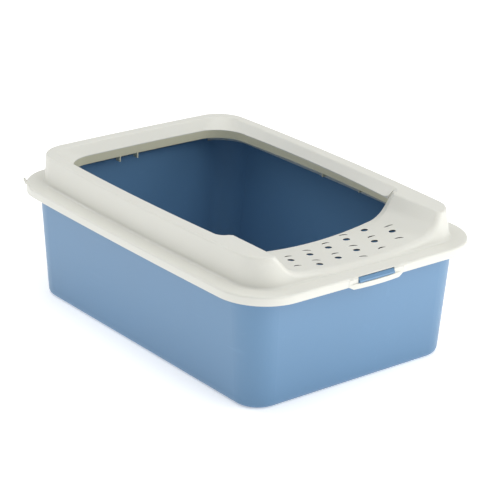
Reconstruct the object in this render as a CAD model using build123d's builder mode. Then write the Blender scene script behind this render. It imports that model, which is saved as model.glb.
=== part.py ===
from build123d import *
from math import cos, radians, sin, tan
import os

# Litter tray with a raised rim frame that snaps onto a drafted tub.
# Millimetres, +Z up, the low entry end faces -Y, and the origin is the middle of the
# footprint on the surface that the tub stands on.

# ---------------------------------------------------------------- overall
skirt_half_width = 205.0
skirt_half_length = 282.0
ledge_height = 170.5
wall_height = 40.0
ridge_height = ledge_height + wall_height

# ---------------------------------------------------------------- tub
tub_side_inset = 20.4
tub_end_inset = 24.6
tub_side_draft = 13.4
tub_end_draft = 8.6
tub_base_corner_radius = 36.0
tub_rim_corner_radius = 45.0
tub_wall = 2.4
tub_floor = 2.8
tub_bottom_edge_radius = 9.0
flange_thickness = 2.4
flange_lip_height = 4.6
flange_lip_thickness = 2.0
upstand_height = 5.0
upstand_half_width = 135.0
gusset_thickness = 1.8
gusset_height = 17.0
gusset_reach = 11.0
tub_rim_half_width = skirt_half_width - tub_side_inset
tub_rim_half_length = skirt_half_length - tub_end_inset
tub_base_half_width = tub_rim_half_width - tub_side_draft
tub_base_half_length = tub_rim_half_length - tub_end_draft

# ---------------------------------------------------------------- skirt and ledge
frame_wall = 2.2
skirt_side_bow = 3.5
skirt_end_bow = 0.8
skirt_corner_radius = 70.0
skirt_depth = 12.2
skirt_edge_radius = 3.0
skirt_bottom_height = ledge_height - skirt_depth

# ---------------------------------------------------------------- raised wall
side_ledge_width = 22.5
front_ledge_width = 23.0
rear_ledge_width = 19.0
foot_side_bow = 6.5
foot_end_bow = 2.5
foot_front_radius = 45.0
foot_rear_radius = 55.0
foot_cove_radius = 3.5
foot_half_width = skirt_half_width - side_ledge_width
foot_front = skirt_half_length - front_ledge_width
foot_rear = skirt_half_length - rear_ledge_width
wall_side_lean = 4.5
wall_front_lean = 8.0
wall_rear_lean = 1.0
ridge_side_bow = 8.0
ridge_end_bow = 3.0
ridge_front_radius = 38.0
ridge_rear_radius = 45.0
ridge_width = 17.5
ridge_half_width = foot_half_width - wall_side_lean
ridge_front = foot_front - wall_front_lean
ridge_rear = foot_rear - wall_rear_lean

# ---------------------------------------------------------------- land, opening and lip
land_drop = 13.7
land_side_width = 26.5
land_rear_width = 31.0
land_side_bow = 5.0
opening_rear_radius = 46.0
opening_front_radius = 3.0
opening_front_bow = 8.0
lip_front_depth = 7.3
lip_rear_depth = 12.0
land_height = ridge_height - land_drop
opening_half_width = ridge_half_width - land_side_width
opening_rear = ridge_rear - land_rear_width
lip_front_height = land_height - lip_front_depth
lip_rear_height = land_height - lip_rear_depth

# ---------------------------------------------------------------- entry step
crest_depth = 9.0
crest_radius = 8.0
ridge_radius = 3.0
step_rise = 5.9
step_depth = 99.5
step_slope = 5.6
step_dish_rise = 9.0
step_wall = 1.4
step_side_gap = 32.5
step_rear_side_gap = 24.8
scoop_gap = 39.0
scoop_rear_gap = 22.4
scoop_knee_setback = 7.5
scoop_rear_setback = 9.0
scoop_cove_radius = 40.0
shelf_top_overlap = 4.5
shelf_foot_setback = 8.5
shelf_corner_radius = 16.0
step_front = foot_front - crest_depth
step_front_height = ledge_height + step_rise
opening_front = step_front - step_depth
step_half_width = opening_half_width - step_side_gap
step_rear_half_width = opening_half_width - step_rear_side_gap
scoop_half_width = ridge_half_width - scoop_gap
scoop_rear_half_width = ridge_half_width - scoop_rear_gap
scoop_knee_distance = opening_front + scoop_knee_setback
scoop_rear_distance = opening_front - scoop_rear_setback
shelf_top_front = opening_front + shelf_top_overlap
shelf_foot_front = opening_front - shelf_foot_setback

# ---------------------------------------------------------------- perforations
hole_diameter = 9.5
hole_start_x = -74.8
hole_start_depth = 51.0
hole_pitch_x = 38.8
hole_pitch_y = 8.2
row_shift_x = 19.8
row_shift_y = 42.8
slot_shift_x = 8.9
slot_shift_y = 17.3
slot_length = 13.0
slot_bulge = 4.2
slot_width = 3.2
even_slot_turn = -5.0
odd_slot_turn = -33.0
# each row is (row number, first column, last column)
hole_rows = ((0, -1, 4), (1, 1, 5))
slot_rows = ((0, -1, 3), (1, 0, 5), (2, 3, 5))
hole_start_y = hole_start_depth - step_front

# ---------------------------------------------------------------- snap clips and lugs
clip_half_width = 46.5
clip_foot_half_width = 39.0
clip_drop = 4.2
clip_hinge_drop = 3.0
clip_bow = 3.4
clip_cut_depth = 8.8
window_half_width = 31.0
window_sill_rise = 2.7
window_head_drop = 1.1
lug_half_width = 30.0
lug_height = 6.0
lug_catch = 1.2
lug_ramp = 3.6
clip_bottom_height = skirt_bottom_height - clip_drop
clip_hinge_height = ledge_height - clip_hinge_drop
window_sill_height = skirt_bottom_height + window_sill_rise
window_head_height = ledge_height - window_head_drop

# ---------------------------------------------------------------- small features of the frame
fin_thickness = 1.8
fin_reach = 10.0
fin_proud = 0.4
side_fin_drop = 5.0
side_fin_rise = 4.0
side_fin_places = (6.0, -74.0)
rear_fin_drop = 8.0
rear_fin_rise = 3.0
rear_fin_places = (-43.0, -12.0)
hook_angle = 140.0
hook_reach = 4.8
hook_foot_reach = 1.9
hook_rise = 2.0
hook_tip = 1.4
hook_height = 9.0
hook_thickness = 3.0

# ---------------------------------------------------------------- fits
seat_gap = 0.2
skirt_gap = 0.8
clip_gap = 0.35
lug_gap = 1.0

# cuts run past the faces they cut by these amounts
cut_reach = 60.0
cut_overrun = 1.0
height_tolerance = 0.05

flange_top = ledge_height - frame_wall - seat_gap
lip_slope = (lip_front_height - lip_rear_height) / (shelf_foot_front + opening_rear)


def bowed_face(height, half_width, rear, front, bows, radii):
    """Rounded rectangle with swelling sides; bows and radii are (side, rear, front) and (rear, front)."""
    side_bow, rear_bow, front_bow = bows
    rear_radius, front_radius = radii
    side = half_width - side_bow
    middle = (rear - front) / 2
    with BuildSketch(Plane.XY.offset(height)) as outline:
        with BuildLine():
            swelling_line((side, -front + front_bow), (side, rear - rear_bow), (half_width, middle))
            swelling_line((side, rear - rear_bow), (-side, rear - rear_bow), (0, rear))
            swelling_line((-side, rear - rear_bow), (-side, -front + front_bow), (-half_width, middle))
            swelling_line((-side, -front + front_bow), (side, -front + front_bow), (0, -front))
        make_face()
        fillet(outline.vertices().group_by(Axis.Y)[-1], rear_radius)
        fillet(outline.vertices().group_by(Axis.Y)[0], front_radius)
    return outline


def swelling_line(start, end, middle):
    """A line from start to end that passes through middle: straight, or a shallow arc."""
    offset_x = (start[0] + end[0]) / 2 - middle[0]
    offset_y = (start[1] + end[1]) / 2 - middle[1]
    if abs(offset_x) + abs(offset_y) < 1e-6:
        return Line(start, end)
    return ThreePointArc(start, middle, end)


def skirt_face(height, inset):
    """Outline of the skirt, moved inwards by inset."""
    half_width = skirt_half_width - inset
    half_length = skirt_half_length - inset
    bows = (skirt_side_bow, skirt_end_bow, skirt_end_bow)
    radius = skirt_corner_radius - inset
    return bowed_face(height, half_width, half_length, half_length, bows, (radius, radius))


def raised_wall(inset, drop):
    """The leaning wall as a solid block, from below the ledge to the ridge."""
    below = frame_wall / wall_height
    with BuildPart() as wall:
        foot = bowed_face(
            ledge_height - frame_wall - drop,
            foot_half_width + wall_side_lean * below - inset,
            foot_rear + wall_rear_lean * below - inset,
            foot_front + wall_front_lean * below - inset,
            (foot_side_bow, foot_end_bow, foot_end_bow),
            (foot_rear_radius - inset, foot_front_radius - inset),
        )
        ridge = bowed_face(
            ridge_height - drop,
            ridge_half_width - inset,
            ridge_rear - inset,
            ridge_front - inset,
            (ridge_side_bow, ridge_end_bow, ridge_end_bow),
            (ridge_rear_radius - inset, ridge_front_radius - inset),
        )
        loft([foot.sketch, ridge.sketch])
    return wall.part


def land_space(grow, drop):
    """The space above the land, which falls from the ridge to the opening."""
    rear_top = ridge_rear - ridge_width + grow
    with BuildPart() as space:
        top = bowed_face(
            ridge_height - drop,
            ridge_half_width - ridge_width + grow,
            rear_top,
            shelf_top_front + grow,
            (land_side_bow, ridge_end_bow, 0),
            (ridge_rear_radius - ridge_width + grow, shelf_corner_radius + grow),
        )
        bottom = bowed_face(
            land_height - drop,
            opening_half_width + grow - cut_overrun,
            opening_rear + grow - cut_overrun,
            shelf_foot_front + grow,
            (ridge_side_bow, ridge_end_bow, 0),
            (opening_rear_radius + grow - cut_overrun, shelf_corner_radius + grow),
        )
        loft([bottom.sketch, top.sketch])
        extrude(top.sketch, amount=cut_reach)
    return space.part


def step_height(distance):
    """Height of the step's middle line at a distance in front of the origin."""
    return step_front_height + (distance - step_front) * tan(radians(step_slope))


def entry_face(distance, step_half, top_half, grow):
    """Cross-section of the entry: a dished floor between two steep scoop sides."""
    middle = step_height(distance) - grow
    side = middle + step_dish_rise
    top = ridge_height + cut_reach
    section_plane = Plane(origin=(0, -distance, 0), x_dir=(1, 0, 0), z_dir=(0, -1, 0))
    with BuildSketch(section_plane) as section:
        with BuildLine():
            ThreePointArc((-step_half - grow, side), (0, middle), (step_half + grow, side))
            Line((step_half + grow, side), (top_half + grow, ridge_height))
            Line((top_half + grow, ridge_height), (top_half + grow, top))
            Line((top_half + grow, top), (-top_half - grow, top))
            Line((-top_half - grow, top), (-top_half - grow, ridge_height))
            Line((-top_half - grow, ridge_height), (-step_half - grow, side))
        make_face()
        fillet(section.vertices().group_by(Axis.Y)[0], scoop_cove_radius)
    return section


def entry_space(grow):
    """The space above the step and between the scoop sides."""
    with BuildPart() as space:
        outer = skirt_half_length + cut_reach / 3
        front = entry_face(outer, step_half_width, scoop_half_width, grow)
        bend = entry_face(scoop_knee_distance, step_half_width, scoop_half_width, grow)
        rear = entry_face(scoop_rear_distance - grow, step_rear_half_width, scoop_rear_half_width, grow)
        loft([front.sketch, bend.sketch, rear.sketch], ruled=True)
    return space.part


def crescent(centre_x, centre_y, turn):
    """A curved slot that narrows to both ends, turned about its centre."""
    half = slot_length / 2
    slot_plane = Plane(
        origin=(centre_x, centre_y, step_front_height - cut_reach / 2),
        x_dir=(cos(radians(turn)), sin(radians(turn)), 0),
        z_dir=(0, 0, 1),
    )
    with BuildSketch(slot_plane) as slot:
        with BuildLine():
            ThreePointArc((-half, -slot_bulge / 2), (0, slot_bulge / 2), (half, -slot_bulge / 2))
            ThreePointArc((half, -slot_bulge / 2), (0, slot_bulge / 2 - slot_width), (-half, -slot_bulge / 2))
        make_face()
    return slot


def opening_space(grow):
    """The vertical shaft of the opening, behind the step."""
    with BuildPart() as space:
        shaft = bowed_face(
            skirt_bottom_height - cut_reach,
            opening_half_width + grow,
            opening_rear + grow,
            opening_front + grow,
            (ridge_side_bow, ridge_end_bow, opening_front_bow),
            (opening_rear_radius + grow, opening_front_radius + grow),
        )
        extrude(shaft.sketch, amount=3 * cut_reach)
    return space.part


def lip_space():
    """The opening's shaft with room for the lip, above the lip's sloping lower edge."""
    with BuildPart() as space:
        add(opening_space(frame_wall))
        cut_height = lip_front_height - lip_slope * shelf_foot_front
        cut_plane = Plane(origin=(0, 0, cut_height), x_dir=(1, 0, 0), z_dir=(0, lip_slope, 1))
        split(bisect_by=cut_plane, keep=Keep.TOP)
    return space.part


def edges_at_height(edges, height):
    """The edges that lie level at a height."""
    return edges.filter_by_position(Axis.Z, height - height_tolerance, height + height_tolerance)


def crest_edges(edges):
    """The edges of the crest, where the entry cuts through the front of the raised wall."""
    return edges.filter_by_position(Axis.Y, -skirt_half_length, -step_front + crest_radius)


os.makedirs("parts", exist_ok=True)

# ---------------------------------------------------------------- rim_frame
frame_core_wall = raised_wall(frame_wall, frame_wall)
frame_core_land = land_space(frame_wall, frame_wall)
frame_core_entry = entry_space(step_wall)
frame_core_lip = lip_space()

with BuildPart() as frame_core:
    core_foot = skirt_face(skirt_bottom_height - cut_overrun, frame_wall)
    extrude(core_foot.sketch, amount=ledge_height - frame_wall - skirt_bottom_height + cut_overrun)
    add(frame_core_wall)
    add(frame_core_land, mode=Mode.SUBTRACT)
    add(frame_core_entry, mode=Mode.SUBTRACT)
    fillet(crest_edges(frame_core.edges(Select.NEW)), crest_radius - frame_wall)
    add(frame_core_lip, mode=Mode.SUBTRACT)

# the hook stands on the skirt's rounded corner, whose centre follows the swelling sides
side_swell = skirt_side_bow * ((skirt_half_length - skirt_corner_radius) / skirt_half_length) ** 2
end_swell = skirt_end_bow * ((skirt_half_width - skirt_corner_radius) / skirt_half_width) ** 2
hook_x = cos(radians(hook_angle))
hook_y = sin(radians(hook_angle))
hook_origin = (
    -(skirt_half_width - side_swell - skirt_corner_radius) + skirt_corner_radius * hook_x,
    skirt_half_length - end_swell - skirt_corner_radius + skirt_corner_radius * hook_y,
    ledge_height,
)
hook_plane = Plane(origin=hook_origin, x_dir=(hook_x, hook_y, 0), z_dir=(hook_y, -hook_x, 0))

with BuildPart() as rim_frame:
    skirt_foot = skirt_face(skirt_bottom_height, 0)
    extrude(skirt_foot.sketch, amount=ledge_height - skirt_bottom_height)
    fillet(rim_frame.edges().group_by(Axis.Z)[-1], skirt_edge_radius)
    add(raised_wall(0, 0))
    wall_edges = rim_frame.edges(Select.NEW)
    fillet(edges_at_height(wall_edges, ledge_height), foot_cove_radius)
    add(land_space(0, 0), mode=Mode.SUBTRACT)
    add(entry_space(0), mode=Mode.SUBTRACT)
    fillet(crest_edges(rim_frame.edges(Select.NEW)), crest_radius)
    fillet(edges_at_height(rim_frame.edges(), ridge_height), ridge_radius)
    add(opening_space(0), mode=Mode.SUBTRACT)
    add(frame_core.part, mode=Mode.SUBTRACT)
    # perforations of the step
    for row, first, last in hole_rows:
        for column in range(first, last + 1):
            hole_x = hole_start_x + column * hole_pitch_x - row * row_shift_x
            hole_y = hole_start_y + column * hole_pitch_y - row * row_shift_y
            with Locations((hole_x, hole_y, step_front_height)):
                Cylinder(hole_diameter / 2, cut_reach, mode=Mode.SUBTRACT)
    for row, first, last in slot_rows:
        for column in range(first, last + 1):
            slot_x = hole_start_x + slot_shift_x + column * hole_pitch_x - row * row_shift_x
            slot_y = hole_start_y + slot_shift_y + column * hole_pitch_y - row * row_shift_y
            turn = even_slot_turn if column % 2 == 0 else odd_slot_turn
            slot = crescent(slot_x, slot_y, turn)
            extrude(slot.sketch, amount=cut_reach, mode=Mode.SUBTRACT)
    # fins under the lip
    for place in side_fin_places:
        half = opening_half_width - ridge_side_bow * (place / opening_rear) ** 2
        lip_height = lip_front_height - lip_slope * (shelf_foot_front + place)
        for side in (-1, 1):
            fin_x = side * (half - fin_proud + fin_reach / 2)
            with Locations((fin_x, place, lip_height + (side_fin_rise - side_fin_drop) / 2)):
                Box(fin_reach, fin_thickness, side_fin_rise + side_fin_drop)
    rear_fin_y = opening_rear - fin_proud + fin_reach / 2
    for place in rear_fin_places:
        with Locations((place, rear_fin_y, lip_rear_height + (rear_fin_rise - rear_fin_drop) / 2)):
            Box(fin_thickness, fin_reach, rear_fin_rise + rear_fin_drop)
    # windows and notches for the two clips
    for end in (-1, 1):
        with Locations((0, end * skirt_half_length, skirt_bottom_height)):
            Box(
                2 * (clip_half_width + clip_gap),
                clip_cut_depth,
                2 * (clip_hinge_height + clip_gap - skirt_bottom_height),
                mode=Mode.SUBTRACT,
            )
            Box(
                2 * window_half_width,
                clip_cut_depth,
                2 * (window_head_height - skirt_bottom_height),
                mode=Mode.SUBTRACT,
            )
    # lifting hook on one rear corner
    with BuildSketch(hook_plane):
        with BuildLine():
            Polyline(
                (-frame_wall / 2, hook_rise - hook_height),
                (hook_foot_reach, hook_rise - hook_height),
                (hook_reach, 0),
                (hook_reach, hook_rise),
                (hook_reach - hook_tip, hook_rise),
                (-frame_wall / 2, -hook_height / 3),
                close=True,
            )
        make_face()
    extrude(amount=hook_thickness / 2, both=True)

rim_frame.part.label = "rim_frame"
export_step(rim_frame.part, "parts/rim_frame.step")

# ---------------------------------------------------------------- clips
clip_outer = skirt_half_length
with BuildPart() as front_clip:
    with BuildSketch(Plane.XY.offset(clip_bottom_height)):
        with BuildLine():
            ThreePointArc(
                (-clip_half_width, -clip_outer),
                (0, -clip_outer - clip_bow),
                (clip_half_width, -clip_outer),
            )
            Line((clip_half_width, -clip_outer), (clip_half_width, -clip_outer + frame_wall))
            ThreePointArc(
                (clip_half_width, -clip_outer + frame_wall),
                (0, -clip_outer - clip_bow + frame_wall),
                (-clip_half_width, -clip_outer + frame_wall),
            )
            Line((-clip_half_width, -clip_outer + frame_wall), (-clip_half_width, -clip_outer))
        make_face()
    extrude(amount=window_sill_height - clip_bottom_height)
    with BuildSketch(Plane.XZ.offset(clip_outer)):
        for side in (-1, 1):
            with BuildLine():
                Polyline(
                    (side * window_half_width, clip_bottom_height),
                    (side * clip_half_width, clip_bottom_height),
                    (side * clip_half_width, clip_hinge_height),
                    (side * window_half_width, clip_hinge_height),
                    close=True,
                )
            make_face()
    extrude(amount=-frame_wall)
    with BuildSketch(Plane.XZ.offset(clip_outer + cut_reach)):
        for side in (-1, 1):
            with BuildLine():
                Polyline(
                    (side * clip_foot_half_width, clip_bottom_height),
                    (side * clip_half_width, skirt_bottom_height),
                    (side * clip_half_width, clip_bottom_height),
                    close=True,
                )
            make_face()
    extrude(amount=-2 * cut_reach, mode=Mode.SUBTRACT)

front_clip.part.label = "front_clip"
export_step(front_clip.part, "parts/front_clip.step")

with BuildPart() as rear_clip:
    mirror(front_clip.part, about=Plane.XZ)

rear_clip.part.label = "rear_clip"
export_step(rear_clip.part, "parts/rear_clip.step")

# ---------------------------------------------------------------- tub
lean = (tub_rim_half_width - tub_base_half_width) / flange_top
with BuildPart() as tub_hollow:
    with BuildSketch(Plane.XY.offset(tub_floor)) as hollow_floor:
        RectangleRounded(
            2 * (tub_base_half_width + lean * tub_floor - tub_wall),
            2 * (tub_base_half_length + lean * tub_floor - tub_wall),
            tub_base_corner_radius - tub_wall,
        )
    with BuildSketch(Plane.XY.offset(flange_top)) as hollow_mouth:
        RectangleRounded(
            2 * (tub_rim_half_width - tub_wall),
            2 * (tub_rim_half_length - tub_wall),
            tub_rim_corner_radius - tub_wall,
        )
    loft()
    fillet(tub_hollow.edges().group_by(Axis.Z)[0], tub_bottom_edge_radius - tub_wall)

with BuildPart() as tub:
    with BuildSketch(Plane.XY):
        RectangleRounded(2 * tub_base_half_width, 2 * tub_base_half_length, tub_base_corner_radius)
    with BuildSketch(Plane.XY.offset(flange_top)):
        RectangleRounded(2 * tub_rim_half_width, 2 * tub_rim_half_length, tub_rim_corner_radius)
    loft()
    fillet(tub.edges().group_by(Axis.Z)[0], tub_bottom_edge_radius)
    flange = skirt_face(flange_top - flange_thickness, frame_wall + skirt_gap)
    extrude(flange.sketch, amount=flange_thickness)
    lip_drop = flange_lip_height - flange_thickness
    flange_rim = skirt_face(flange_top - flange_lip_height, frame_wall + skirt_gap)
    extrude(flange_rim.sketch, amount=lip_drop)
    flange_inside = skirt_face(flange_top - flange_lip_height, frame_wall + skirt_gap + flange_lip_thickness)
    flange_void = extrude(flange_inside.sketch, amount=lip_drop, mode=Mode.PRIVATE)
    add(flange_void, mode=Mode.SUBTRACT)
    with BuildSketch(Plane.XY.offset(flange_top - flange_lip_height)):
        RectangleRounded(
            2 * (tub_rim_half_width - cut_overrun),
            2 * (tub_rim_half_length - cut_overrun),
            tub_rim_corner_radius - cut_overrun,
        )
    extrude(amount=flange_lip_height)
    # upstand of the rear wall, behind the frame's lip
    with Locations((0, tub_rim_half_length - tub_wall / 2, flange_top + upstand_height / 2)):
        Box(2 * upstand_half_width, tub_wall, upstand_height)
    # catch lugs in the clips' windows
    lug_tip = skirt_half_length + clip_bow - frame_wall + lug_catch
    lug_root = skirt_half_length - frame_wall - skirt_gap - flange_lip_thickness
    lug_bottom = window_sill_height + lug_gap
    for end in (-1, 1):
        with BuildSketch(Plane.YZ):
            with BuildLine():
                Polyline(
                    (end * lug_root, lug_bottom),
                    (end * lug_tip, lug_bottom),
                    (end * lug_tip, lug_bottom + lug_height - lug_ramp),
                    (end * (lug_tip - lug_ramp), lug_bottom + lug_height),
                    (end * lug_root, lug_bottom + lug_height),
                    close=True,
                )
            make_face()
        extrude(amount=lug_half_width, both=True)
    # gussets under the flange at the four corners
    gusset_foot = flange_top - gusset_height
    for angle in (45, 135, 225, 315):
        across = cos(radians(angle))
        along = sin(radians(angle))
        corner_x = (tub_rim_half_width - tub_rim_corner_radius) * (1 if across > 0 else -1)
        corner_y = (tub_rim_half_length - tub_rim_corner_radius) * (1 if along > 0 else -1)
        gusset_plane = Plane(
            origin=(corner_x, corner_y, 0),
            x_dir=(across, along, 0),
            z_dir=(along, -across, 0),
        )
        with BuildSketch(gusset_plane):
            with BuildLine():
                Polyline(
                    (tub_rim_corner_radius - tub_wall, gusset_foot),
                    (tub_rim_corner_radius, gusset_foot),
                    (tub_rim_corner_radius + gusset_reach, flange_top - flange_thickness),
                    (tub_rim_corner_radius - tub_wall, flange_top - flange_thickness),
                    close=True,
                )
            make_face()
        extrude(amount=gusset_thickness / 2, both=True)
    add(tub_hollow.part, mode=Mode.SUBTRACT)

tub.part.label = "tub"
export_step(tub.part, "parts/tub.step")
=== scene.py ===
import math

import bpy
from bpy.props import FloatProperty, FloatVectorProperty, PointerProperty
from mathutils import Matrix, Vector

bl_info = {
    "name": "Litter Tray",
    "version": (1, 0, 0),
    "blender": (4, 5, 0),
    "location": "View3D > Sidebar > Litter Tray",
    "description": "Finishes and studio for a rimmed litter tray with a clip-on frame",
    "category": "Object",
}

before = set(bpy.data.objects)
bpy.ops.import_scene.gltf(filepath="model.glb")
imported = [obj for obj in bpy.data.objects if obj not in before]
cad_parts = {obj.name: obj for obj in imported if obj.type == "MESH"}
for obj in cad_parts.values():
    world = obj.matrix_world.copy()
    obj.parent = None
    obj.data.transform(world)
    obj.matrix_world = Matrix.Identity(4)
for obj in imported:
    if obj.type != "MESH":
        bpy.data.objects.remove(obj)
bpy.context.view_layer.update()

# the entry step: Y of its two ends, its height at the front, its slope and its dish, in metres
STEP_FRONT = -0.250
STEP_REAR = -0.1525
STEP_FRONT_HEIGHT = 0.1764
STEP_SLOPE = math.radians(5.6)
STEP_DISH_RISE = 0.009
STEP_HALF_WIDTH = 0.119

# the space that holds the inner lip, in metres
LIP_TOP = 0.1972
LIP_HALF_WIDTH = 0.165
LIP_REAR = 0.245

# satin moulded plastic
PLASTIC_IOR = 1.49
COAT_ROUGHNESS = 0.22
SCATTER_TINT = (1.0, 0.9, 0.75)
SCATTER_DEPTH = 0.002
ROUGHNESS_DRIFT = 0.10
WORN_ROUGHNESS = 0.2
SCUFF_GAIN = 1.25
SCUFF_LIFT = 0.04
SCUFF_STRETCH = (1.0, 0.12, 1.0)
SCUFF_TURN = (0.3, 0.2, 0.7)
SCUFF_LEVELS = (0.62, 0.72)
SCUFF_AREAS_PER_METRE = 9.0
SCUFF_AREA_LEVELS = (0.48, 0.68)
GRAIN_STRENGTH = 0.6
# painted shade: a dim, warm tint multiplied onto the upright faces of the inner lip
LIP_SHADE_TINT = (0.91, 0.88, 0.70)
# painted shade: a near-black colour laid on the walls of the holes and slots in the entry step
HOLE_SHADE_COLOUR = (0.012, 0.014, 0.013)

# how far each edge of a mask fades, in metres
# depth over which the painted shade in the holes fades in
HOLE_SHADE_FADE = 0.0002
SIDE_FADE = 0.004
REAR_FADE = 0.002
LIP_TOP_FADE = 0.001
LIP_FRONT_FADE = 0.006

# the studio: softboxes, the lit table and the camera, in metres
STUDIO_MIDDLE = (0.0, 0.0, 0.12)
SOFTBOX_SIZE = 1.6
TOP_SOFTBOX_SIZE = 2.4
KEY_PLACE = (2.2, -2.0, 1.1)
TOP_PLACE = (0.0, 0.0, 2.6)
BACK_PLACE = (-1.2, 2.4, 2.0)
HIGH_PLACE = (0.5, -2.4, 2.4)
FRONT_POOL_PLACE = (0.2, -1.15, 0.0)
SIDE_POOL_PLACE = (-1.05, 0.1, 0.0)
POOL_RIM = 1.0
POOL_CORE = 0.6
FAR_GLOW_START = 1.2
FAR_GLOW_FULL = 2.6
TABLE_ROUGHNESS = 0.9
SENSOR_WIDTH = 36.0
CLIP_START = 0.05
CLIP_END = 100.0


# ---------------------------------------------------------------- settings
class TubSettings(bpy.types.PropertyGroup):
    """Colour and finish of the deep blue tub."""

    colour: FloatVectorProperty(
        name="Colour",
        description="Colour of the moulded tub",
        subtype="COLOR",
        min=0.0,
        max=1.0,
        default=(0.118, 0.245, 0.405),
    )
    roughness: FloatProperty(
        name="Roughness",
        description="How matt the tub's surface is",
        min=0.0,
        max=1.0,
        default=0.38,
    )
    grain_size: FloatProperty(
        name="Grain size",
        description="Width of one grain of the moulded texture",
        unit="LENGTH",
        min=0.0001,
        default=0.0007,
    )
    grain_depth: FloatProperty(
        name="Grain depth",
        description="Depth of the moulded texture",
        unit="LENGTH",
        min=0.0,
        default=0.00003,
    )


class FrameSettings(bpy.types.PropertyGroup):
    """Colour and finish of the off-white rim frame and its clips."""

    colour: FloatVectorProperty(
        name="Colour",
        description="Colour of the moulded frame and clips",
        subtype="COLOR",
        min=0.0,
        max=1.0,
        default=(0.682, 0.682, 0.628),
    )
    roughness: FloatProperty(
        name="Roughness",
        description="How matt the frame's surface is",
        min=0.0,
        max=1.0,
        default=0.42,
    )
    grain_size: FloatProperty(
        name="Grain size",
        description="Width of one grain of the moulded texture",
        unit="LENGTH",
        min=0.0001,
        default=0.0006,
    )
    grain_depth: FloatProperty(
        name="Grain depth",
        description="Depth of the moulded texture",
        unit="LENGTH",
        min=0.0,
        default=0.00002,
    )


class StageSettings(bpy.types.PropertyGroup):
    """The floor, the lights and the camera."""

    floor_colour: FloatVectorProperty(
        name="Floor colour",
        description="Colour of the studio floor",
        subtype="COLOR",
        min=0.0,
        max=1.0,
        default=(0.94, 0.94, 0.94),
    )
    floor_glow: FloatProperty(
        name="Floor glow",
        description="How strongly the lit table shines from below",
        min=0.0,
        default=0.34,
    )
    front_pool: FloatProperty(
        name="Front pool",
        description="Extra glow of the table in front of the entry",
        min=0.0,
        default=0.74,
    )
    side_pool: FloatProperty(
        name="Side pool",
        description="Extra glow of the table beside the tray",
        min=0.0,
        default=0.42,
    )
    floor_size: FloatProperty(
        name="Floor size",
        description="Length of one side of the studio floor",
        unit="LENGTH",
        min=1.0,
        default=30.0,
    )
    sky_strength: FloatProperty(
        name="Sky strength",
        description="Brightness of the even light from all round",
        min=0.0,
        default=0.48,
    )
    key_power: FloatProperty(
        name="Key power",
        description="Power of the large soft light in front and to the right",
        unit="POWER",
        min=0.0,
        default=27.0,
    )
    top_power: FloatProperty(
        name="Top power",
        description="Power of the large soft light straight above",
        unit="POWER",
        min=0.0,
        default=30.0,
    )
    back_power: FloatProperty(
        name="Back light",
        description="Power of the light behind the tray, in watts",
        min=0.0,
        default=18.0,
    )
    high_power: FloatProperty(
        name="High light",
        description="Power of the high light in front of the tray, in watts",
        min=0.0,
        default=14.0,
    )
    far_glow: FloatProperty(
        name="Far glow",
        description="Extra glow of the table far from the tray",
        min=0.0,
        default=0.45,
    )
    camera_place: FloatVectorProperty(
        name="Camera place",
        description="Where the camera stands",
        subtype="TRANSLATION",
        unit="LENGTH",
        default=(-1.65059, -2.05282, 1.15890),
    )
    camera_yaw: FloatProperty(
        name="Camera yaw",
        description="Turn of the camera about the upright axis, from looking along +Y",
        subtype="ANGLE",
        default=math.radians(-39.1062),
    )
    camera_pitch: FloatProperty(
        name="Camera pitch",
        description="How far the camera looks down",
        subtype="ANGLE",
        default=math.radians(21.7810),
    )
    camera_roll: FloatProperty(
        name="Camera roll",
        description="Tilt of the camera about its own view",
        subtype="ANGLE",
        default=math.radians(1.9841),
    )
    camera_lens: FloatProperty(
        name="Camera lens",
        description="Focal length on a 36 mm sensor, in millimetres",
        min=1.0,
        default=146.188,
    )


# ---------------------------------------------------------------- shared effects
def group_node(tree, name, place, **values):
    """Puts a shader node group in a tree and sets its inputs."""
    node = tree.nodes.new("ShaderNodeGroup")
    node.node_tree = bpy.data.node_groups[name]
    node.location = place
    for socket, value in values.items():
        node.inputs[socket.replace("_", " ")].default_value = value
    return node


def new_group(name, inputs, outputs):
    """An empty shader node group with named float, colour and vector sockets."""
    group = bpy.data.node_groups.new(name, "ShaderNodeTree")
    for label, kind, default in inputs:
        socket = group.interface.new_socket(name=label, in_out="INPUT", socket_type=kind)
        if default is not None:
            socket.default_value = default
    for label, kind in outputs:
        group.interface.new_socket(name=label, in_out="OUTPUT", socket_type=kind)
    return group, group.nodes.new("NodeGroupInput"), group.nodes.new("NodeGroupOutput")


def noise(group, coordinates, scale, detail, roughness=0.5):
    """A noise texture, whose scale is a number or a socket."""
    node = group.nodes.new("ShaderNodeTexNoise")
    node.inputs["Detail"].default_value = detail
    node.inputs["Roughness"].default_value = roughness
    if isinstance(scale, float):
        node.inputs["Scale"].default_value = scale
    else:
        group.links.new(scale, node.inputs["Scale"])
    group.links.new(coordinates, node.inputs["Vector"])
    return node


def maths(group, operation, first, second):
    """The result of a maths node on two numbers or sockets."""
    node = group.nodes.new("ShaderNodeMath")
    node.operation = operation
    for socket, value in zip(node.inputs, (first, second)):
        if isinstance(value, (int, float)):
            socket.default_value = value
        else:
            group.links.new(value, socket)
    return node.outputs[0]


def ramp(tree, value, low, high, shape="LINEAR"):
    """A mask that rises from 0 to 1 while a value goes from low to high."""
    node = tree.nodes.new("ShaderNodeMapRange")
    node.interpolation_type = shape
    node.inputs["From Min"].default_value = low
    node.inputs["From Max"].default_value = high
    tree.links.new(value, node.inputs["Value"])
    return node.outputs["Result"]


def step(tree, value, low, high):
    """A ramp with eased ends."""
    return ramp(tree, value, low, high, "SMOOTHSTEP")


def place_coordinates(group):
    """Coordinates in metres, fixed to the piece."""
    return group.nodes.new("ShaderNodeTexCoord").outputs["Object"]


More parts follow.
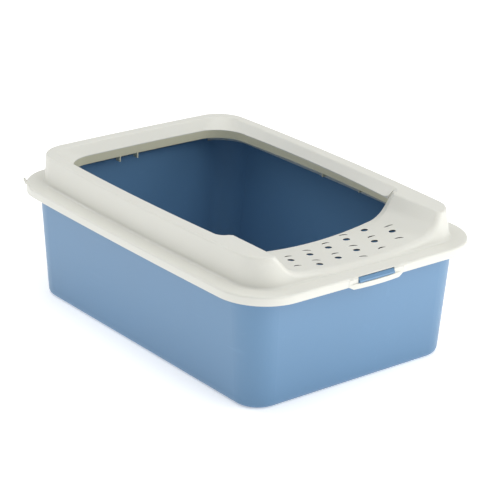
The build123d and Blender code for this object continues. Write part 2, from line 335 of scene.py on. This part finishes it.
def build_tone_group():
    """Slow, faint drift of tone, as coloured plastic has where the melt cooled unevenly."""
    group, given, result = new_group(
        "Tone Drift",
        [
            ("Colour", "NodeSocketColor", (0.5, 0.5, 0.5, 1.0)),
            ("Amount", "NodeSocketFloat", 0.05),
            ("Patches per metre", "NodeSocketFloat", 6.0),
        ],
        [("Colour", "NodeSocketColor"), ("Mask", "NodeSocketFloat")],
    )
    drift = noise(group, place_coordinates(group), given.outputs["Patches per metre"], 3.0)
    centred = maths(group, "SUBTRACT", drift.outputs["Fac"], 0.5)
    change = maths(group, "MULTIPLY", centred, given.outputs["Amount"])
    value = maths(group, "ADD", change, 1.0)
    tint = group.nodes.new("ShaderNodeHueSaturation")
    group.links.new(given.outputs["Colour"], tint.inputs["Color"])
    group.links.new(value, tint.inputs["Value"])
    group.links.new(tint.outputs["Color"], result.inputs["Colour"])
    group.links.new(drift.outputs["Fac"], result.inputs["Mask"])


def build_grain_group():
    """The fine even grain that a spark-eroded mould leaves, as a height in metres."""
    group, given, result = new_group(
        "Moulded Grain",
        [
            ("Grain size", "NodeSocketFloat", 0.0007),
            ("Grain depth", "NodeSocketFloat", 0.00003),
        ],
        [("Height", "NodeSocketFloat")],
    )
    scale = maths(group, "DIVIDE", 1.0, given.outputs["Grain size"])
    grain = noise(group, place_coordinates(group), scale, 2.0, 0.6)
    height = maths(group, "MULTIPLY", grain.outputs["Fac"], given.outputs["Grain depth"])
    group.links.new(height, result.inputs["Height"])


def build_scuff_group():
    """Short, thin scuffs from handling, as a mask from 0 to 1."""
    group, given, result = new_group(
        "Handling Scuffs",
        [
            ("Amount", "NodeSocketFloat", 0.3),
            ("Scuffs per metre", "NodeSocketFloat", 60.0),
        ],
        [("Mask", "NodeSocketFloat")],
    )
    coordinates = place_coordinates(group)
    stretch = group.nodes.new("ShaderNodeMapping")
    stretch.inputs["Scale"].default_value = SCUFF_STRETCH
    stretch.inputs["Rotation"].default_value = SCUFF_TURN
    group.links.new(coordinates, stretch.inputs["Vector"])
    lines = noise(group, stretch.outputs["Vector"], given.outputs["Scuffs per metre"], 4.0, 0.65)
    where = noise(group, coordinates, SCUFF_AREAS_PER_METRE, 2.0)
    thin = ramp(group, lines.outputs["Fac"], *SCUFF_LEVELS)
    patch = ramp(group, where.outputs["Fac"], *SCUFF_AREA_LEVELS)
    both = maths(group, "MULTIPLY", thin, patch)
    group.links.new(maths(group, "MULTIPLY", both, given.outputs["Amount"]), result.inputs["Mask"])


def build_groups():
    """Builds the shared node groups that aren't there yet."""
    for name, build in (
        ("Tone Drift", build_tone_group),
        ("Moulded Grain", build_grain_group),
        ("Handling Scuffs", build_scuff_group),
    ):
        if name not in bpy.data.node_groups:
            build()


# ---------------------------------------------------------------- materials
def multiply_masks(tree, masks):
    """The product of a list of masks."""
    product = masks[0]
    for mask in masks[1:]:
        product = maths(tree, "MULTIPLY", product, mask)
    return product


def upright_mask(tree, flat, upright):
    """A mask that rises while a face turns from flat to upright (by its normal's height)."""
    geometry = tree.nodes.new("ShaderNodeNewGeometry")
    normal = tree.nodes.new("ShaderNodeSeparateXYZ")
    tree.links.new(geometry.outputs["True Normal"], normal.inputs["Vector"])
    return step(tree, maths(tree, "ABSOLUTE", normal.outputs["Z"], 0.0), flat, upright)


def painted_hole_shade_mask(tree, across, along, up):
    """1 on the walls of the holes and slots in the entry step, which get a painted shade."""
    run = maths(tree, "MULTIPLY", along, -math.tan(STEP_SLOPE))
    across_squared = maths(tree, "POWER", across, 2.0)
    dish = maths(tree, "MULTIPLY", across_squared, STEP_DISH_RISE / STEP_HALF_WIDTH**2)
    middle_height = STEP_FRONT_HEIGHT + STEP_FRONT * math.tan(STEP_SLOPE)
    surface = maths(tree, "ADD", maths(tree, "ADD", run, middle_height), dish)
    depth = maths(tree, "SUBTRACT", surface, up)
    aside = maths(tree, "ABSOLUTE", across, 0.0)
    masks = [
        step(tree, depth, 0.0, HOLE_SHADE_FADE),
        upright_mask(tree, 0.9, 0.6),
        step(tree, aside, STEP_HALF_WIDTH, STEP_HALF_WIDTH - SIDE_FADE),
        step(tree, along, STEP_FRONT + 0.001, STEP_FRONT + SIDE_FADE),
        step(tree, along, STEP_REAR, STEP_REAR - REAR_FADE),
    ]
    return multiply_masks(tree, masks)


def painted_lip_shade_mask(tree, across, along, up):
    """1 on the upright faces of the inner lip, which get a painted shade as a dim, warm tint."""
    aside = maths(tree, "ABSOLUTE", across, 0.0)
    masks = [
        upright_mask(tree, 0.6, 0.3),
        step(tree, up, LIP_TOP, LIP_TOP - LIP_TOP_FADE),
        step(tree, aside, LIP_HALF_WIDTH, LIP_HALF_WIDTH - SIDE_FADE),
        step(tree, along, STEP_REAR, STEP_REAR + LIP_FRONT_FADE),
        step(tree, along, LIP_REAR, LIP_REAR - SIDE_FADE),
    ]
    return multiply_masks(tree, masks)


def lay_colour(tree, under, mask, colour, blend, place):
    """Lays a second colour over the first where a mask is 1."""
    layer = tree.nodes.new("ShaderNodeMix")
    layer.data_type = "RGBA"
    layer.blend_type = blend
    layer.location = place
    layer.inputs["B"].default_value = (*colour, 1.0)
    tree.links.new(mask, layer.inputs["Factor"])
    tree.links.new(under, layer.inputs["A"])
    return layer.outputs["Result"]


def add_painted_shade(tree, colour):
    """Paints shade on the inner lip as a dim, warm tint and on the walls of the perforations as
    near-black.
    """
    place = tree.nodes.new("ShaderNodeSeparateXYZ")
    tree.links.new(place_coordinates(tree), place.inputs["Vector"])
    lip = painted_lip_shade_mask(tree, *place.outputs)
    lip_shaded = lay_colour(tree, colour, lip, LIP_SHADE_TINT, "MULTIPLY", (-200, 350))
    shaded_holes = painted_hole_shade_mask(tree, *place.outputs)
    return lay_colour(tree, lip_shaded, shaded_holes, HOLE_SHADE_COLOUR, "MIX", (0, 350))


def moulded_plastic(name, settings, drift, scuffs, coat, scatter, with_painted_shade=False):
    """A satin moulded plastic with drifting tone, mould grain and light handling scuffs."""
    build_groups()
    material = bpy.data.materials.new(name)
    material.use_nodes = True
    tree = material.node_tree
    tree.nodes.clear()
    output = tree.nodes.new("ShaderNodeOutputMaterial")
    output.location = (600, 0)
    shader = tree.nodes.new("ShaderNodeBsdfPrincipled")
    shader.location = (300, 0)
    shader.inputs["IOR"].default_value = PLASTIC_IOR
    shader.inputs["Coat Weight"].default_value = coat
    shader.inputs["Coat Roughness"].default_value = COAT_ROUGHNESS
    shader.inputs["Subsurface Weight"].default_value = scatter
    shader.inputs["Subsurface Radius"].default_value = SCATTER_TINT
    shader.inputs["Subsurface Scale"].default_value = SCATTER_DEPTH
    tree.links.new(shader.outputs["BSDF"], output.inputs["Surface"])
    tone = group_node(tree, "Tone Drift", (-600, 200), Colour=(*settings.colour, 1.0), Amount=drift)
    grain = group_node(
        tree,
        "Moulded Grain",
        (-600, -200),
        Grain_size=settings.grain_size,
        Grain_depth=settings.grain_depth,
    )
    scuff = group_node(tree, "Handling Scuffs", (-600, 0), Amount=scuffs)
    pale = tree.nodes.new("ShaderNodeMix")
    pale.data_type = "RGBA"
    pale.location = (-300, 200)
    scuffed = [min(1.0, SCUFF_GAIN * channel + SCUFF_LIFT) for channel in settings.colour]
    pale.inputs["B"].default_value = (*scuffed, 1.0)
    tree.links.new(scuff.outputs["Mask"], pale.inputs["Factor"])
    tree.links.new(tone.outputs["Colour"], pale.inputs["A"])
    base_colour = pale.outputs["Result"]
    # painted shade on the inner lip and on the walls of the holes
    if with_painted_shade:
        base_colour = add_painted_shade(tree, base_colour)
    tree.links.new(base_colour, shader.inputs["Base Color"])
    roughness = maths(tree, "MULTIPLY", tone.outputs["Mask"], ROUGHNESS_DRIFT)
    roughness = maths(tree, "ADD", roughness, settings.roughness - ROUGHNESS_DRIFT / 2)
    worn = maths(tree, "MULTIPLY", scuff.outputs["Mask"], WORN_ROUGHNESS)
    tree.links.new(maths(tree, "ADD", roughness, worn), shader.inputs["Roughness"])
    bump = tree.nodes.new("ShaderNodeBump")
    bump.location = (0, -200)
    bump.inputs["Strength"].default_value = GRAIN_STRENGTH
    bump.inputs["Distance"].default_value = 1.0
    tree.links.new(grain.outputs["Height"], bump.inputs["Height"])
    tree.links.new(bump.outputs["Normal"], shader.inputs["Normal"])
    return material


def dress(node, material):
    """Gives a CAD node a material in all its slots."""
    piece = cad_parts[node]
    piece.data.materials.clear()
    piece.data.materials.append(material)
    return piece


# ---------------------------------------------------------------- operators
class TRAY_OT_tub(bpy.types.Operator):
    """Finish the blue tub"""

    bl_idname = "tray.tub"
    bl_label = "Tub"

    def execute(self, context):
        settings = context.scene.tray_tub
        material = moulded_plastic(
            "tub_blue", settings, drift=0.10, scuffs=0.25, coat=0.15, scatter=0.0
        )
        dress("tub", material)
        return {"FINISHED"}


class TRAY_OT_rim_frame(bpy.types.Operator):
    """Finish the off-white rim frame"""

    bl_idname = "tray.rim_frame"
    bl_label = "Rim frame"

    def execute(self, context):
        settings = context.scene.tray_frame
        # the frame gets painted shade on its inner lip and in its holes
        material = moulded_plastic(
            "frame_cream", settings, drift=0.03, scuffs=0.2, coat=0.1, scatter=0.15, with_painted_shade=True
        )
        dress("rim_frame", material)
        return {"FINISHED"}


class TRAY_OT_clips(bpy.types.Operator):
    """Finish the two snap clips"""

    bl_idname = "tray.clips"
    bl_label = "Snap clips"

    def execute(self, context):
        settings = context.scene.tray_frame
        material = moulded_plastic(
            "clip_cream", settings, drift=0.03, scuffs=0.3, coat=0.1, scatter=0.15
        )
        for node in ("front_clip", "rear_clip"):
            dress(node, material)
        return {"FINISHED"}


def glow_pool(tree, centre, strength, start=POOL_RIM, end=POOL_CORE):
    """Light under the table: none at the start radius round a centre, full at the end radius."""
    away = tree.nodes.new("ShaderNodeVectorMath")
    away.operation = "DISTANCE"
    away.inputs[1].default_value = centre
    tree.links.new(place_coordinates(tree), away.inputs[0])
    return maths(tree, "MULTIPLY", step(tree, away.outputs["Value"], start, end), strength)


def add_area_light(name, place, target, size, power):
    """A square softbox that faces its target."""
    light = bpy.data.lights.new(name, "AREA")
    light.shape = "SQUARE"
    light.size = size
    light.energy = power
    lamp = bpy.data.objects.new(name, light)
    bpy.context.scene.collection.objects.link(lamp)
    lamp.location = place
    lamp.rotation_euler = (Vector(place) - Vector(target)).to_track_quat("Z", "Y").to_euler()
    return lamp


def add_camera(settings):
    """The camera stands at its place, turned by yaw, pitch and roll."""
    yaw = settings.camera_yaw
    pitch = settings.camera_pitch
    level = math.cos(pitch)
    back = Vector((math.sin(yaw) * level, -math.cos(yaw) * level, math.sin(pitch)))
    right = Vector((0, 0, 1)).cross(back).normalized()
    up = back.cross(right)
    roll = settings.camera_roll
    turned_right = math.cos(roll) * right + math.sin(roll) * up
    turned_up = back.cross(turned_right)
    data = bpy.data.cameras.new("camera")
    data.sensor_width = SENSOR_WIDTH
    data.lens = settings.camera_lens
    data.clip_start = CLIP_START
    data.clip_end = CLIP_END
    camera = bpy.data.objects.new("camera", data)
    bpy.context.scene.collection.objects.link(camera)
    camera.matrix_world = Matrix.LocRotScale(
        Vector(settings.camera_place),
        Matrix((turned_right, turned_up, back)).transposed(),
        None,
    )
    bpy.context.scene.camera = camera


def build_sky(strength):
    """Even white light from all round."""
    world = bpy.data.worlds.new("studio")
    world.use_nodes = True
    background = world.node_tree.nodes["Background"]
    background.inputs["Color"].default_value = (1.0, 1.0, 1.0, 1.0)
    background.inputs["Strength"].default_value = strength
    return world


def table_material(settings):
    """The white table, lit from below, with a brighter pool in front and one beside the tray."""
    material = bpy.data.materials.new("floor_white")
    material.use_nodes = True
    tree = material.node_tree
    shader = tree.nodes["Principled BSDF"]
    shader.inputs["Base Color"].default_value = (*settings.floor_colour, 1.0)
    shader.inputs["Roughness"].default_value = TABLE_ROUGHNESS
    shader.inputs["Specular IOR Level"].default_value = 0.0
    shader.inputs["Emission Strength"].default_value = 1.0
    front = glow_pool(tree, FRONT_POOL_PLACE, settings.front_pool)
    side = glow_pool(tree, SIDE_POOL_PLACE, settings.side_pool)
    far = glow_pool(tree, (0.0, 0.0, 0.0), settings.far_glow, FAR_GLOW_START, FAR_GLOW_FULL)
    glow = maths(tree, "ADD", front, settings.floor_glow)
    glow = maths(tree, "ADD", side, glow)
    glow = maths(tree, "ADD", far, glow)
    tree.links.new(glow, shader.inputs["Emission Color"])
    return material


class TRAY_OT_stage(bpy.types.Operator):
    """Build the floor, the lights and the camera"""

    bl_idname = "tray.stage"
    bl_label = "Studio"

    def execute(self, context):
        settings = context.scene.tray_stage
        context.scene.world = build_sky(settings.sky_strength)
        context.scene.view_settings.view_transform = "Standard"
        bpy.ops.mesh.primitive_plane_add(size=settings.floor_size, location=(0, 0, 0))
        floor = context.object
        floor.name = "floor"
        floor.data.materials.append(table_material(settings))
        softboxes = (
            ("key_light", KEY_PLACE, SOFTBOX_SIZE, settings.key_power),
            ("top_light", TOP_PLACE, TOP_SOFTBOX_SIZE, settings.top_power),
            ("back_light", BACK_PLACE, SOFTBOX_SIZE, settings.back_power),
            ("high_light", HIGH_PLACE, SOFTBOX_SIZE, settings.high_power),
        )
        for name, place, size, power in softboxes:
            add_area_light(name, place, STUDIO_MIDDLE, size, power)
        add_camera(settings)
        return {"FINISHED"}


class TRAY_PT_panel(bpy.types.Panel):
    """Lists the tray's pieces and their settings"""

    bl_idname = "TRAY_PT_panel"
    bl_label = "Litter Tray"
    bl_space_type = "VIEW_3D"
    bl_region_type = "UI"
    bl_category = "Litter Tray"

    def draw(self, context):
        column = self.layout.column()
        for operator in PIECE_OPERATORS:
            column.operator(operator.bl_idname)
        for group in ("tray_tub", "tray_frame", "tray_stage"):
            settings = getattr(context.scene, group)
            for name in settings.__annotations__:
                column.prop(settings, name)


PIECE_OPERATORS = (TRAY_OT_tub, TRAY_OT_rim_frame, TRAY_OT_clips, TRAY_OT_stage)
CLASSES = (TubSettings, FrameSettings, StageSettings, *PIECE_OPERATORS, TRAY_PT_panel)


def register():
    for cls in CLASSES:
        bpy.utils.register_class(cls)
    bpy.types.Scene.tray_tub = PointerProperty(type=TubSettings)
    bpy.types.Scene.tray_frame = PointerProperty(type=FrameSettings)
    bpy.types.Scene.tray_stage = PointerProperty(type=StageSettings)


def unregister():
    for name in ("tray_tub", "tray_frame", "tray_stage"):
        delattr(bpy.types.Scene, name)
    for cls in reversed(CLASSES):
        bpy.utils.unregister_class(cls)


def main():
    register()
    bpy.ops.tray.tub()
    bpy.ops.tray.rim_frame()
    bpy.ops.tray.clips()
    bpy.ops.tray.stage()


if __name__ == "__main__":
    main()
